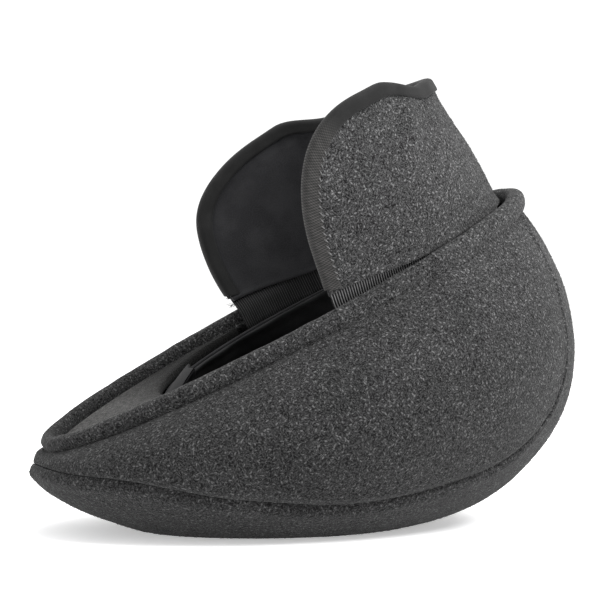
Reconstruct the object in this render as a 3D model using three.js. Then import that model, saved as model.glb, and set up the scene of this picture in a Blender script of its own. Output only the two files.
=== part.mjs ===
// A felt cap with a short peak and a fold-out ear flap, laid upside down on its crown.
// Millimetres, +Z up. The peak points along -X, the back of the cap along +X, and Y = 0 is the
// mirror plane. The rim's plane climbs towards the back, and the ear flap stands up out of it.

import * as THREE from "three";

// Driving sizes of the rim, the edge that a wearer's brow and nape meet. Its widest place is
// rimMiddle behind the origin.
const rimMiddle = 7;
const rimFront = 131;
const rimBack = 103;
const rimWidth = 150;
const noseHeight = 39;
const backHeight = 158;

// Driving sizes of the crown below it, and of the flat that it rests on.
const crownWidth = 214;
const restFront = 69;
const restBack = 46;
const restWidth = 99;
const restMiddle = -12;

// Felt, lining, tape and the gaps between pieces that touch.
const feltThickness = 2.6;
const liningThickness = 1.4;
const tapeThickness = 1.4;
const clearance = 0.35;
const seamGap = 1;
const seamDip = 0.9;
const seamDipReach = 4;

// The rolled hem on the rim. It grows taller from the nose to the back, and wider at the back.
const rollHeight = 6.4;
const rollWidth = 7;
const lipHeight = 8.8;
const lipWidth = 9.2;

// The peak, a stiff crescent under the front of the rim, and the narrow facing that goes on from
// it round the rim.
const peakLength = 59;
const peakThickness = 4;
const peakRecess = 1.6;
const peakSag = 2;
const facingThickness = 1.4;

// The head opening inside the hem, and the sweatband round it.
const openingSideInset = 5.2;
const openingBackInset = 13;
const openingPower = 2.15;
const sweatbandDepth = 0.24;
const sweatbandThickness = 1.6;

// The ear flap, one band from temple to temple round the back. Its front ends are quarters of a
// superellipse, and its height falls behind the lobes.
const flapStart = 130;
const lobeHeight = 85.5;
const napeHeight = 75.5;
const lobeLength = 50;
const lobePower = 2.4;
const lobeEnd = 190;
const napeStart = 218;
const flapFlare = 10;
const flapLean = 11;
const flareReach = 16;
const hingeHeight = 15;
const hingeBackHeight = 8.9;
const hingeRoot = 4;
const bindingWidth = 5;
const bindingThickness = 0.8;

// A padded tab of cloth that stands on the front of the sweatband.
const tabLength = 27;
const tabHeight = 7;
const tabThickness = 4.4;
const tabAngle = THREE.MathUtils.degToRad(174);

// Mesh counts, each for one side of the mirror plane.
const backColumns = 10;
const sideColumns = 24;
const tongueColumns = 3;
const hemColumns = 30;
const liningColumns = 24;
const lobeColumns = 11;
const napeColumns = 11;

const felt = { color: 0x3f3e40, roughness: 0.95, metalness: 0 };
const liningCloth = { color: 0x17181a, roughness: 0.8, metalness: 0 };
const blackTape = { color: 0x222224, roughness: 0.7, metalness: 0 };

const lerp = THREE.MathUtils.lerp;
const half = 0.5;

const rimTilt = Math.atan2(backHeight - noseHeight, rimFront + rimBack);
const rimLength = (rimFront + rimBack) / Math.cos(rimTilt);
const rimNoseX = rimMiddle - rimFront;
const rimNormal = new THREE.Vector3(-Math.sin(rimTilt), 0, Math.cos(rimTilt));
const rimSlope = new THREE.Vector3(Math.cos(rimTilt), 0, Math.sin(rimTilt));

// Each ring is an egg in a plane that tilts about Y. Middle is where it is widest, and low and
// high are its heights at the front and the back end.
// The wall climbs from the floor ring to the rim ring on a cubic through the two between them.
const restRing = {
  middle: restMiddle,
  front: restFront,
  back: restBack,
  side: half * restWidth,
  low: 0,
  high: 0,
};
const underRing = {
  middle: restMiddle + 4,
  front: 0.585 * rimFront,
  back: 1.3 * rimBack,
  side: 0.374 * crownWidth,
  low: 0,
  high: 0,
};
const bulgeRing = {
  middle: 0,
  front: 1.2 * rimFront,
  back: 1.67 * rimBack,
  side: 0.624 * crownWidth,
  low: 0.55 * noseHeight,
  high: 0.53 * backHeight,
};
const rimRing = {
  middle: rimMiddle,
  front: rimFront,
  back: rimBack,
  side: half * rimWidth,
  low: noseHeight,
  high: backHeight,
};
const wallRings = [restRing, underRing, bulgeRing, rimRing];

function ringPoint(ring, angle) {
  const along = Math.cos(angle);
  const x = (along > 0 ? ring.back : ring.front) * along;
  const share = (x + ring.front) / (ring.front + ring.back);
  return new THREE.Vector3(ring.middle + x, ring.side * Math.sin(angle), lerp(ring.low, ring.high, share));
}

// A point on a bowl of rings. Angle 0 is the back and PI the nose. Climb runs from -1, the
// middle of the floor, through 0, the edge of the flat that it rests on, to 1 at the rim.
function bowlPoint(rings, angle, climb) {
  const [a, b, c, d] = rings.map((ring) => ringPoint(ring, angle));
  if (climb < 0) {
    const middle = new THREE.Vector3(rings[0].middle, 0, a.z);
    return middle.lerp(a, 1 + climb);
  }
  const rest = 1 - climb;
  return a
    .multiplyScalar(rest ** 3)
    .addScaledVector(b, 3 * rest ** 2 * climb)
    .addScaledVector(c, 3 * rest * climb ** 2)
    .addScaledVector(d, climb ** 3);
}

function bowlNormal(rings, angle, climb) {
  if (climb < 0) return new THREE.Vector3(0, 0, -1);
  const step = 1e-3;
  const low = Math.min(climb, 1 - step);
  const up = bowlPoint(rings, angle, low + step).sub(bowlPoint(rings, angle, low));
  const round = bowlPoint(rings, angle + step, climb).sub(bowlPoint(rings, angle - step, climb));
  return round.cross(up).normalize();
}

// The seam between crown and side panels, as the climb at each angle from the back.
const seamTable = [
  { degrees: 25, climb: 1 },
  { degrees: 30, climb: 0.965 },
  { degrees: 33, climb: 0.86 },
  { degrees: 36, climb: 0.695 },
  { degrees: 40, climb: 0.58 },
  { degrees: 46, climb: 0.48 },
  { degrees: 60, climb: 0.4 },
  { degrees: 88, climb: 0.352 },
  { degrees: 120, climb: 0.465 },
  { degrees: 150, climb: 0.725 },
  { degrees: 180, climb: 0.88 },
];
const tongueEnd = THREE.MathUtils.degToRad(seamTable[0].degrees);
const panelStart = THREE.MathUtils.degToRad(seamTable[0].degrees + 0.5);

// The angle where the seam turns off its climb up the back.
const seamBend = THREE.MathUtils.degToRad(47);

// The angle between a direction and the back, the same on both sides.
function folded(angle) {
  return Math.abs(Math.atan2(Math.sin(angle), Math.cos(angle)));
}

// A smooth curve through the table's rows that never turns back between two of them.
function seamClimb(angle) {
  const degrees = THREE.MathUtils.radToDeg(folded(angle));
  if (degrees <= seamTable[0].degrees) return 1;
  const next = Math.max(1, seamTable.findIndex((row) => row.degrees >= degrees));
  const row = (i) => seamTable[THREE.MathUtils.clamp(i, 0, seamTable.length - 1)];
  const [before, from, to, after] = [row(next - 2), row(next - 1), row(next), row(next + 1)];
  const share = (degrees - from.degrees) / (to.degrees - from.degrees);
  const slope = (p, q) => (q.climb - p.climb) / Math.max(q.degrees - p.degrees, 1);
  const gentler = (m, n) => (m * n <= 0 ? 0 : (2 * m * n) / (m + n));
  const width = to.degrees - from.degrees;
  const middle = slope(from, to);
  const start = before === from ? middle : gentler(slope(before, from), middle);
  const end = after === to ? 0 : gentler(middle, slope(to, after));
  const s2 = share ** 2;
  const s3 = share ** 3;
  return (
    (2 * s3 - 3 * s2 + 1) * from.climb +
    (s3 - 2 * s2 + share) * width * start +
    (3 * s2 - 2 * s3) * to.climb +
    (s3 - s2) * width * end
  );
}

// Even shares from 0 to 1.
function shares(count) {
  return Array.from({ length: count + 1 }, (_, i) => i / count);
}

// Makes one closed mesh from an outer and an inner face. Each is a function of a row and a column
// value. A closed sheet meets itself after its last column, and one with a pole starts at a point.
function sheet({ rows, columns, closed = false, pole = false, outer, inner }) {
  const points = [];
  const put = (p) => {
    points.push(p.x, p.y, p.z);
    return points.length / 3 - 1;
  };
  const face = (at) =>
    rows.map((row, i) => {
      if (pole && i === 0) return new Array(columns.length).fill(put(at(row, columns[0])));
      return columns.map((column) => put(at(row, column)));
    });
  const top = face(outer);
  const under = face(inner);
  const faces = [];
  const span = (a, b) => {
    const from = new THREE.Vector3().fromArray(points, 3 * a);
    return from.distanceTo(new THREE.Vector3().fromArray(points, 3 * b));
  };
  const quad = (a, b, c, d) => {
    if (a === b) faces.push(a, c, d);
    else if (c === d) faces.push(a, b, c);
    else if (span(a, c) < span(b, d) - 1e-6) faces.push(a, b, c, a, c, d);
    else faces.push(a, b, d, b, c, d);
  };
  const lastRow = rows.length - 1;
  const lastColumn = closed ? columns.length : columns.length - 1;
  const next = (j) => (j + 1) % columns.length;
  for (let i = 0; i < lastRow; i += 1)
    for (let j = 0; j < lastColumn; j += 1) {
      quad(top[i][j], top[i][next(j)], top[i + 1][next(j)], top[i + 1][j]);
      quad(under[i][next(j)], under[i][j], under[i + 1][j], under[i + 1][next(j)]);
    }
  for (let j = 0; j < lastColumn; j += 1) {
    quad(top[lastRow][j], top[lastRow][next(j)], under[lastRow][next(j)], under[lastRow][j]);
    if (!pole) quad(top[0][next(j)], top[0][j], under[0][j], under[0][next(j)]);
  }
  if (!closed)
    for (let i = 0; i < lastRow; i += 1) {
      quad(top[i][0], top[i + 1][0], under[i + 1][0], under[i][0]);
      quad(top[i + 1][lastColumn], top[i][lastColumn], under[i][lastColumn], under[i + 1][lastColumn]);
    }
  return facingOut(points, faces);
}

// An indexed geometry whose faces are all turned round where they point inwards.
function facingOut(points, faces) {
  const corner = (i) => new THREE.Vector3().fromArray(points, 3 * faces[i]);
  let volume = 0;
  for (let i = 0; i < faces.length; i += 3)
    volume += corner(i).dot(corner(i + 1).cross(corner(i + 2)));
  if (volume < 0)
    for (let i = 0; i < faces.length; i += 3)
      [faces[i + 1], faces[i + 2]] = [faces[i + 2], faces[i + 1]];
  const geometry = new THREE.BufferGeometry();
  geometry.setAttribute("position", new THREE.Float32BufferAttribute(points, 3));
  geometry.setIndex(faces);
  geometry.computeVertexNormals();
  return geometry;
}

// Angles round the cap on both sides of the mirror plane, from a list for one side.
function mirrored(angles) {
  return [...angles, ...angles.slice().reverse().map((angle) => -angle)];
}

// The two panels share their columns, so that their edges run side by side along the seam.
const panelAngles = [
  ...shares(backColumns).map((share) => lerp(panelStart, seamBend, share)),
  ...shares(sideColumns).slice(1).map((share) => lerp(seamBend, Math.PI, share)),
];

// The length of a bowl's wall from its floor to its rim.
function wallLength(angle, rings = wallRings) {
  const steps = 12;
  let length = 0;
  for (let i = 0; i < steps; i += 1) {
    const from = bowlPoint(rings, angle, i / steps);
    length += from.distanceTo(bowlPoint(rings, angle, (i + 1) / steps));
  }
  return length;
}

// A point of the felt at a depth under its outer face, which dips beside the seam.
function feltPoint(angle, climb, depth, toSeam) {
  const dip = seamDip * Math.exp(-((toSeam / seamDipReach) ** 2));
  const normal = bowlNormal(wallRings, angle, climb);
  return bowlPoint(wallRings, angle, climb).addScaledVector(normal, -depth - dip);
}

// The side panel goes round the front from one side of the back to the other.
function sidePanel() {
  const at = (depth) => (row, angle) => {
    const length = wallLength(angle);
    const low = Math.min(seamClimb(angle) + (half * seamGap) / length, 0.996);
    const climb = lerp(low, 1, row);
    return feltPoint(angle, climb, depth, (climb - low) * length);
  };
  return sheet({
    rows: [0, 0.03, 0.1, 0.25, 0.45, 0.7, 1],
    columns: mirrored(panelAngles).toSpliced(panelAngles.length, 1),
    outer: at(0),
    inner: at(feltThickness),
  });
}

// The crown panel lies under the cap and climbs to the rim at the back.
function crownPanel() {
  const at = (depth) => (row, angle) => {
    const length = wallLength(angle);
    const shifted = folded(angle) + seamGap / rimBack;
    const seam = Math.min(seamClimb(angle), seamClimb(shifted));
    const edge = seam - (half * seamGap) / length;
    const climb = row < 0 ? row : edge * row;
    return feltPoint(angle, climb, depth, (edge - climb) * length);
  };
  const tongue = shares(tongueColumns).slice(1).map((share) => tongueEnd * share);
  return sheet({
    rows: [-1, 0, 0.15, 0.3, 0.43, 0.56, 0.68, 0.8, 0.91, 0.97, 1],
    columns: [0, ...mirrored([...tongue, ...panelAngles]).toSpliced(tongue.length + panelAngles.length, 1)],
    closed: true,
    pole: true,
    outer: at(0),
    inner: at(feltThickness),
  });
}

// A direction out of the rim, in its plane.
function rimOutward(angle) {
  const step = 1e-3;
  const along = ringPoint(rimRing, angle + step).sub(ringPoint(rimRing, angle - step));
  return along.cross(rimNormal).normalize();
}

// How far towards the back an angle points, from 0 at the nose to 1 at the back.
function backward(angle) {
  return half * (1 + Math.cos(angle));
}

function hemHeight(angle) {
  return lerp(rollHeight, lipHeight, backward(angle));
}

// The hem sits on the wall's edge.
function rimRoll() {
  const sides = 8;
  const turns = shares(sides).slice(1).map((share) => 2 * Math.PI * share);
  const at = (turn, angle) => {
    const width = lerp(rollWidth, lipWidth, backward(angle) ** 8);
    return ringPoint(rimRing, angle)
      .addScaledVector(rimOutward(angle), half * width * Math.cos(turn))
      .addScaledVector(rimNormal, half * hemHeight(angle) * (1 + Math.sin(turn)) + clearance);
  };
  const oneSide = shares(hemColumns).slice(1).map((share) => Math.PI * share);
  return ring({ turns, angles: [0, ...mirrored(oneSide).toSpliced(hemColumns, 1)], at });
}

// A closed ring whose section goes round through the turns, at every angle round the cap.
function ring({ turns, angles, at }) {
  const points = angles.flatMap((angle) => turns.flatMap((turn) => at(turn, angle).toArray()));
  const id = (j, k) => (j % angles.length) * turns.length + (k % turns.length);
  const faces = [];
  for (let j = 0; j < angles.length; j += 1)
    for (let k = 0; k < turns.length; k += 1) {
      faces.push(id(j, k), id(j + 1, k), id(j + 1, k + 1));
      faces.push(id(j, k), id(j + 1, k + 1), id(j, k + 1));
    }
  return facingOut(points, faces);
}

// A point by its distance behind the nose along the rim's plane, its side and its height over it.
function rimPoint(behindNose, aside, height) {
  return new THREE.Vector3(rimNoseX, aside, noseHeight)
    .addScaledVector(rimSlope, behindNose)
    .addScaledVector(rimNormal, height);
}

// An egg in the rim's plane, inside the rim by an inset at the nose, the back and the sides.
const rimMiddleBehind = rimFront / Math.cos(rimTilt);
function insetEgg(angle, { nose, back, side, power = 2 }) {
  const rounded = (value) => Math.sign(value) * Math.abs(value) ** (2 / power);
  const along = rounded(Math.cos(angle));
  const reach = along > 0 ? rimLength - rimMiddleBehind - back : rimMiddleBehind - nose;
  return {
    behindNose: rimMiddleBehind + reach * along,
    aside: (half * rimWidth - side) * rounded(Math.sin(angle)),
  };
}

const openingEgg = {
  nose: peakLength,
  back: openingBackInset,
  side: openingSideInset,
  power: openingPower,
};

const hornAngle = THREE.MathUtils.degToRad(103);
const facingAngle = THREE.MathUtils.degToRad(40);
const facingGap = half * tapeThickness + 2 * clearance;

// The peak's crescent sags in the middle towards the crown.
function peakPlate() {
  const inset = feltThickness + 4 * clearance;
  const rimEgg = { nose: inset, back: inset, side: inset };
  const at = (height) => (row, angle) => {
    const opening = insetEgg(angle, openingEgg);
    const rim = insetEgg(angle, rimEgg);
    const aside = lerp(opening.aside, rim.aside, row);
    const sag = peakSag * (1 - row) * (1 - (aside / (half * rimWidth)) ** 2);
    return rimPoint(lerp(opening.behindNose, rim.behindNose, row), aside, height - sag);
  };
  return sheet({
    rows: [0, 0.35, 0.7, 1],
    columns: shares(30).map((share) => lerp(hornAngle, 2 * Math.PI - hornAngle, share)),
    outer: at(-peakRecess + half * peakThickness),
    inner: at(-peakRecess - half * peakThickness),
  });
}

// The facing closes the gap between the wall and the flap's foot round the back, where it is wide.
function rimFacing() {
  const wall = 1.4 * feltThickness + clearance;
  const outerEgg = { nose: wall, back: wall, side: wall };
  const innerEgg = {
    ...openingEgg,
    back: openingBackInset - facingGap,
    side: openingSideInset - facingGap,
  };
  const at = (height) => (row, angle) => {
    const foot = insetEgg(angle, innerEgg);
    const rim = insetEgg(angle, outerEgg);
    return rimPoint(lerp(foot.behindNose, rim.behindNose, row), lerp(foot.aside, rim.aside, row), height);
  };
  return sheet({
    rows: [0, 1],
    columns: shares(24).map((share) => lerp(-facingAngle, facingAngle, share)),
    outer: at(-clearance),
    inner: at(-clearance - facingThickness),
  });
}

// The lining hangs inside the flap's foot and lies in the crown. It leaves the peak's wedge empty.
const bowlInset = 1.6 * feltThickness;
const liningInset = half * tapeThickness + 3 * clearance;
const liningDrop = 3;
const liningRings = [
  {
    middle: restMiddle,
    front: 0.8 * restFront,
    back: restBack - bowlInset,
    side: restRing.side - bowlInset,
    low: bowlInset,
    high: bowlInset,
  },
  {
    middle: underRing.middle,
    front: underRing.front - 0.4 * peakLength,
    back: underRing.back - 2.5 * bowlInset,
    side: underRing.side - 2 * bowlInset,
    low: bowlInset,
    high: bowlInset,
  },
  {
    middle: bulgeRing.middle,
    front: bulgeRing.front - 1.15 * peakLength,
    back: bulgeRing.back - 5 * bowlInset,
    side: bulgeRing.side - 4 * bowlInset,
    low: 0.62 * noseHeight,
    high: 0.5 * backHeight,
  },
  {
    middle: rimMiddle,
    front: rimFront - 1.073 * peakLength * Math.cos(rimTilt),
    back: rimBack - (openingBackInset + liningInset) * Math.cos(rimTilt),
    side: rimRing.side - openingSideInset - liningInset,
    low: noseHeight + peakLength * Math.sin(rimTilt) - liningDrop,
    high: backHeight - openingBackInset * Math.sin(rimTilt) - liningDrop,
  },
];
const liningAngles = [
  0,
  ...mirrored(shares(liningColumns).slice(1).map((share) => Math.PI * share)).toSpliced(liningColumns, 1),
];

function liningPoint(depth) {
  return (climb, angle) => {
    const normal = bowlNormal(liningRings, angle, climb);
    return bowlPoint(liningRings, angle, climb).addScaledVector(normal, -depth);
  };
}

const sweatbandRows = [1 - sweatbandDepth, 1 - half * sweatbandDepth, 1];

function liningBowl() {
  return sheet({
    rows: [-1, 0, 0.2, 0.4, 0.6, ...sweatbandRows],
    columns: liningAngles,
    closed: true,
    pole: true,
    outer: liningPoint(0),
    inner: liningPoint(liningThickness),
  });
}

const sweatbandFace = liningThickness + clearance;

function sweatband() {
  return sheet({
    rows: sweatbandRows,
    columns: liningAngles,
    closed: true,
    outer: liningPoint(sweatbandFace),
    inner: liningPoint(sweatbandFace + sweatbandThickness),
  });
}

// The tab stands on the sweatband's top edge, thicker in its middle than at its ends.
function frontTab() {
  const reach = tabLength / (rimFront - peakLength);
  const length = wallLength(tabAngle, liningRings);
  const at = (puff) => (row, column) => {
    const round = Math.sqrt(Math.max(0, 1 - column ** 4)) * Math.sqrt(Math.max(0, 1 - row ** 4));
    const climb = 1 + (0.6 * clearance + half * (1 + row) * tabHeight) / length;
    const depth = clearance + puff * lerp(0.25, 1, round) * tabThickness;
    return liningPoint(depth)(climb, tabAngle + half * column * reach);
  };
  return sheet({
    rows: [-1, -0.6, 0, 0.6, 1],
    columns: [-1, -0.8, -0.4, 0, 0.4, 0.8, 1],
    outer: at(0),
    inner: at(1),
  });
}

// The angle at which the flap's foot is a distance behind the nose.
function footAngle(behindNose) {
  const forward = behindNose - rimMiddleBehind;
  const reach = forward > 0 ? rimLength - rimMiddleBehind - openingBackInset : rimMiddleBehind - peakLength;
  return Math.acos(Math.sign(forward) * (Math.abs(forward) / reach) ** (half * openingPower));
}

// The flap's free edge, inset towards its middle. The share goes from the front of one lobe, 0,
// over the nape, to the front of the other, 1. Side is 1 on the +Y side and -1 on the other.
const lobeShare = 0.25;
const lowestTurn = 0.085;
function flapEdge(share, inset) {
  const near = Math.min(share, 1 - share);
  const side = share > half ? -1 : 1;
  const turn = Math.PI * half * lerp(lowestTurn, 1, Math.min(near / lobeShare, 1));
  const length = lobeLength - inset;
  const behindLobe = flapStart + inset + length * (1 - Math.cos(turn) ** (2 / lobePower));
  const lobeAngle = footAngle(flapStart + lobeLength);
  const onward = THREE.MathUtils.clamp((near - lobeShare) / (half - lobeShare), 0, 1);
  const angle = near < lobeShare ? footAngle(behindLobe) : lobeAngle * (1 - onward);
  const behindNose = insetEgg(angle, openingEgg).behindNose;
  const falling = THREE.MathUtils.smoothstep(behindNose, lobeEnd, napeStart);
  const full = lerp(lobeHeight, napeHeight, falling) - inset;
  return { angle: side * angle, height: full * Math.sin(turn) ** (2 / lobePower), behindNose };
}

function hingeTop(behindNose) {
  return lerp(hingeHeight, hingeBackHeight, THREE.MathUtils.smoothstep(behindNose, flapStart, lobeEnd));
}

// A point of the flap at an angle and height, and a distance out of its own middle face. It
// flares outwards at the ears and leans inwards at the nape.
function flapPoint(angle, height, outwards) {
  const step = 0.01;
  const foot = insetEgg(angle, openingEgg);
  const ahead = insetEgg(angle + step, openingEgg);
  const before = insetEgg(angle - step, openingEgg);
  const normal = new THREE.Vector2(ahead.aside - before.aside, before.behindNose - ahead.behindNose);
  normal.normalize();
  const free = Math.max(0, height - hemHeight(angle));
  const flare = flapFlare * (1 - Math.exp(-free / flareReach)) * Math.sin(angle) ** 2;
  const lean = flapLean * (free / lobeHeight) * Math.max(0, Math.cos(angle)) ** 2;
  const out = outwards + flare - lean;
  return rimPoint(foot.behindNose + normal.x * out, foot.aside + normal.y * out, height);
}

const edgeShares = [
  ...shares(lobeColumns).map((share) => lobeShare * share),
  ...shares(napeColumns).slice(1).map((share) => lerp(lobeShare, half, share)),
];
const flapShares = [...edgeShares, ...edgeShares.slice(0, -1).reverse().map((share) => 1 - share)];

function flapSheet(near, far) {
  const at = (outwards) => (row, share) => {
    const edge = flapEdge(share, 0);
    const foot = hingeTop(edge.behindNose) + clearance;
    return flapPoint(edge.angle, lerp(foot, Math.max(edge.height, foot + 1), row), outwards);
  };
  return sheet({ rows: [0, 0.15, 0.4, 0.7, 1], columns: flapShares, outer: at(near), inner: at(far) });
}

function hingeTape() {
  const at = (outwards) => (row, share) => {
    const edge = flapEdge(share, 0);
    return flapPoint(edge.angle, lerp(-hingeRoot, hingeTop(edge.behindNose), row), outwards);
  };
  return sheet({
    rows: [0, 0.6, 1],
    columns: flapShares,
    outer: at(half * tapeThickness),
    inner: at(-half * tapeThickness),
  });
}

// The binding's U section wraps the flap's free edge. Its outside and inside each turn through
// four corners, a row apiece.
const flapShellFace = 0.2 + feltThickness;
const flapLiningFace = 0.2 + liningThickness;
function flapBinding() {
  const at = (skin) => (row, share) => {
    const outwards = row < 2 ? flapShellFace + skin : -flapLiningFace - skin;
    const edge = flapEdge(share, row === 0 || row === 3 ? bindingWidth : -skin);
    return flapPoint(edge.angle, edge.height, outwards);
  };
  return sheet({
    rows: [0, 1, 2, 3],
    columns: flapShares,
    outer: at(2 * clearance + bindingThickness),
    inner: at(2 * clearance),
  });
}

const pieces = [
  { name: "side_panel", geometry: sidePanel(), look: felt },
  { name: "crown_panel", geometry: crownPanel(), look: felt },
  { name: "rim_roll", geometry: rimRoll(), look: felt },
  { name: "peak", geometry: peakPlate(), look: felt },
  { name: "rim_facing", geometry: rimFacing(), look: felt },
  { name: "lining", geometry: liningBowl(), look: liningCloth },
  { name: "sweatband", geometry: sweatband(), look: blackTape },
  { name: "front_tab", geometry: frontTab(), look: blackTape },
  { name: "hinge_tape", geometry: hingeTape(), look: blackTape },
  { name: "flap_shell", geometry: flapSheet(flapShellFace, 0.2), look: felt },
  { name: "flap_lining", geometry: flapSheet(-0.2, -flapLiningFace), look: liningCloth },
  { name: "flap_binding", geometry: flapBinding(), look: blackTape },
];

const cap = new THREE.Group();
for (const { name, geometry, look } of pieces) {
  const mesh = new THREE.Mesh(geometry, new THREE.MeshStandardMaterial(look));
  mesh.name = name;
  cap.add(mesh);
}

// The origin is on the floor under the middle of the whole cap.
const middle = new THREE.Box3().setFromObject(cap).getCenter(new THREE.Vector3());
for (const mesh of cap.children) mesh.geometry.translate(-middle.x, 0, 0);

export default cap;
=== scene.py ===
# The looks of a felt flat cap with an ear flap, laid upside down on its crown.
# Shapes are worked out in millimetres round the cap's own axis and turned into metres at the end.

import math

import bpy
import numpy as np
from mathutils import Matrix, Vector


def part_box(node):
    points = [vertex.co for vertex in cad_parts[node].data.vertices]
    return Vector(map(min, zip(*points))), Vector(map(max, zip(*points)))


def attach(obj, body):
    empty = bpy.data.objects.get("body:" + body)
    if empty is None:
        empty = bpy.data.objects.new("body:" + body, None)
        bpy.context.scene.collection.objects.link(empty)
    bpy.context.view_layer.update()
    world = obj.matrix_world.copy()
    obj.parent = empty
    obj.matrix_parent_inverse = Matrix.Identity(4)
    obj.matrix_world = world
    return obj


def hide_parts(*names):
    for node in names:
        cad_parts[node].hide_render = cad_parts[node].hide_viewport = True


MM = 0.001

# The rim and the crown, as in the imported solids.
RIM_MIDDLE = 7
RIM_FRONT = 131
RIM_BACK = 103
RIM_WIDTH = 150
NOSE_HEIGHT = 39
BACK_HEIGHT = 158
CROWN_WIDTH = 214
REST = {"middle": -12, "front": 69, "back": 46, "side": 49.5, "low": 0, "high": 0}
UNDER = {
    "middle": REST["middle"] + 4,
    "front": 0.585 * RIM_FRONT,
    "back": 1.3 * RIM_BACK,
    "side": 0.374 * CROWN_WIDTH,
    "low": 0,
    "high": 0,
}
BULGE = {
    "middle": 0,
    "front": 1.2 * RIM_FRONT,
    "back": 1.67 * RIM_BACK,
    "side": 0.624 * CROWN_WIDTH,
    "low": 0.55 * NOSE_HEIGHT,
    "high": 0.53 * BACK_HEIGHT,
}
RIM = {
    "middle": RIM_MIDDLE,
    "front": RIM_FRONT,
    "back": RIM_BACK,
    "side": RIM_WIDTH / 2,
    "low": NOSE_HEIGHT,
    "high": BACK_HEIGHT,
}
WALL = (REST, UNDER, BULGE, RIM)
RIM_TILT = math.atan2(BACK_HEIGHT - NOSE_HEIGHT, RIM_FRONT + RIM_BACK)
RIM_LENGTH = (RIM_FRONT + RIM_BACK) / math.cos(RIM_TILT)
RIM_SLOPE = np.array([math.cos(RIM_TILT), 0, math.sin(RIM_TILT)])
RIM_NORMAL = np.array([-math.sin(RIM_TILT), 0, math.cos(RIM_TILT)])

FELT = 2.6
LINING = 1.4
TAPE = 1.4
CLEARANCE = 0.35
SEAM_GAP = 0.5
SEAM_DIP = 0.5
SEAM_DIP_REACH = 4

# The angles from the back over which the sides pass into the nose.
NOSE_REACH = (math.radians(140), math.radians(170))

# The climb at which a bowl's floor starts, a hair's breadth from its middle.
FLOOR_START = -0.999

# How far the wall's cloth runs up into the hem, and the hem down round the wall's edge.
HEM_TUCK = 1.6
HEM_LAP = 2.2

# The angles over which the hem's outer face goes flush with the wall and stands out again.
FLUSH_STARTS = (math.radians(35), math.radians(52))
FLUSH_ENDS = (math.radians(85), math.radians(105))

# The seam's climb up the wall, by degrees from the back.
SEAM = {
    25: 1,
    30: 0.965,
    33: 0.86,
    36: 0.695,
    40: 0.58,
    46: 0.48,
    60: 0.4,
    88: 0.352,
    120: 0.465,
    150: 0.725,
    180: 0.88,
}
TONGUE_END = math.radians(25)
PANEL_START = math.radians(25.5)

# The hem, the peak and the head opening.
HEM_HEIGHT = 6.4
HEM_WIDTH = 7
LIP_HEIGHT = 8.8
LIP_WIDTH = 9.2
PEAK_LENGTH = 59
PEAK_THICKNESS = 4
PEAK_RECESS = 1.6
PEAK_SAG = 2
HORN_ANGLE = math.radians(103)

# The peak's face darkens between these distances behind the nose.
PEAK_FADE = (34, 80)
FACING_THICKNESS = 1.4
FACING_ANGLE = math.radians(40)
FACING_GAP = TAPE / 2 + 2 * CLEARANCE
OPENING = {"nose": PEAK_LENGTH, "back": 13, "side": 5.2, "power": 2.15}
SWEATBAND_DEPTH = 0.24
SWEATBAND_THICKNESS = 1.6

# The ear flap and the tape that it folds on.
FLAP_START = 130
LOBE_HEIGHT = 85.5
NAPE_HEIGHT = 75.5
LOBE_LENGTH = 50
LOBE_POWER = 2.4
NEAR_POWER = 2.85
LOBE_END = 190
NAPE_START = 218
FLAP_FLARE = 10
FLAP_LEAN = 12
FLARE_REACH = 16
HINGE_HEIGHT = 15
HINGE_BACK_HEIGHT = 8.9
HINGE_ROOT = 4
BINDING_WIDTH = 5
BINDING_THICKNESS = 0.8
LOBE_SHARE = 0.25
LOWEST_TURN = 0.085
SHELL_LAP = 1
LINING_LAP = 2.5
HALF_SPLIT = 0.2
SHELL_FACE = HALF_SPLIT + FELT
FLAP_LINING_FACE = HALF_SPLIT + LINING

# The near lobe stands a little taller and squarer. The far one bulges forward and droops there.
NEAR_LIFT = 1.5
FAR_BULGE = 3.5
FAR_DROOP = 7.0
DROOP_START = FLAP_START + 0.45 * LOBE_LENGTH

# The padded tab on the front of the sweatband.
TAB_LENGTH = 27
TAB_HEIGHT = 7
TAB_THICKNESS = 4.4
TAB_ANGLE = math.radians(174)

# The ribs, stitches and loose threads, each in millimetres.
BINDING_RIB = 1.3
TAPE_RIB = 1.3
STITCH_PITCH = 3.2
BINDING_FRONT = 66
BINDING_COLUMNS = 1500
FRAY_COUNT = 14
FIBRE_LENGTH = (1.0, 2.4)
FIBRE_LIFT = (0.0, 0.22)
FIBRE_RADIUS = (0.05, 0.09)

# From this many bodies on, a spindle has three sides to its waist and not five.
MANY_BODIES = 9000

# A distance in millimetres at which a seam or the rim leaves the felt's face alone.
OUT_OF_REACH = 99

# The camera, nearly level with the cap and 20 degrees round from its side.
CAMERA_TURN = math.radians(-20)
CAMERA_DISTANCE = 850
CAMERA_HEIGHT = 97
CAMERA_AIM = 107
CAMERA_BEHIND = -1.8
CAMERA_LENS = 103
SENSOR = 36

# The light. The lamps' places are in metres and both are aimed at the same point.
FLOOR_GLOW = 0.42
WORLD_GLOW = 1.15
LAMP_AIM = (0, 0, 0.1)
KEY_LAMP = {"place": (0.85, -1.1, 1.4), "size": 0.9, "power": 43}
TOP_LAMP = {"place": (0.2, 0.0, 1.9), "size": 1.4, "power": 17}

# Painted shade: the felt's colour is darkened to this share at the floor and comes back to all of it at this
# height, so the underside looks darker.
PAINTED_SHADE_HEIGHT = 170
PAINTED_SHADE_AT_FLOOR = 0.53


def lerp(a, b, share):
    return a + (b - a) * share


def unit(vectors):
    return vectors / np.maximum(np.linalg.norm(vectors, axis=-1, keepdims=True), 1e-12)


def smoothstep(value, low, high):
    share = np.clip((value - low) / (high - low), 0, 1)
    return share * share * (3 - 2 * share)


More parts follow.
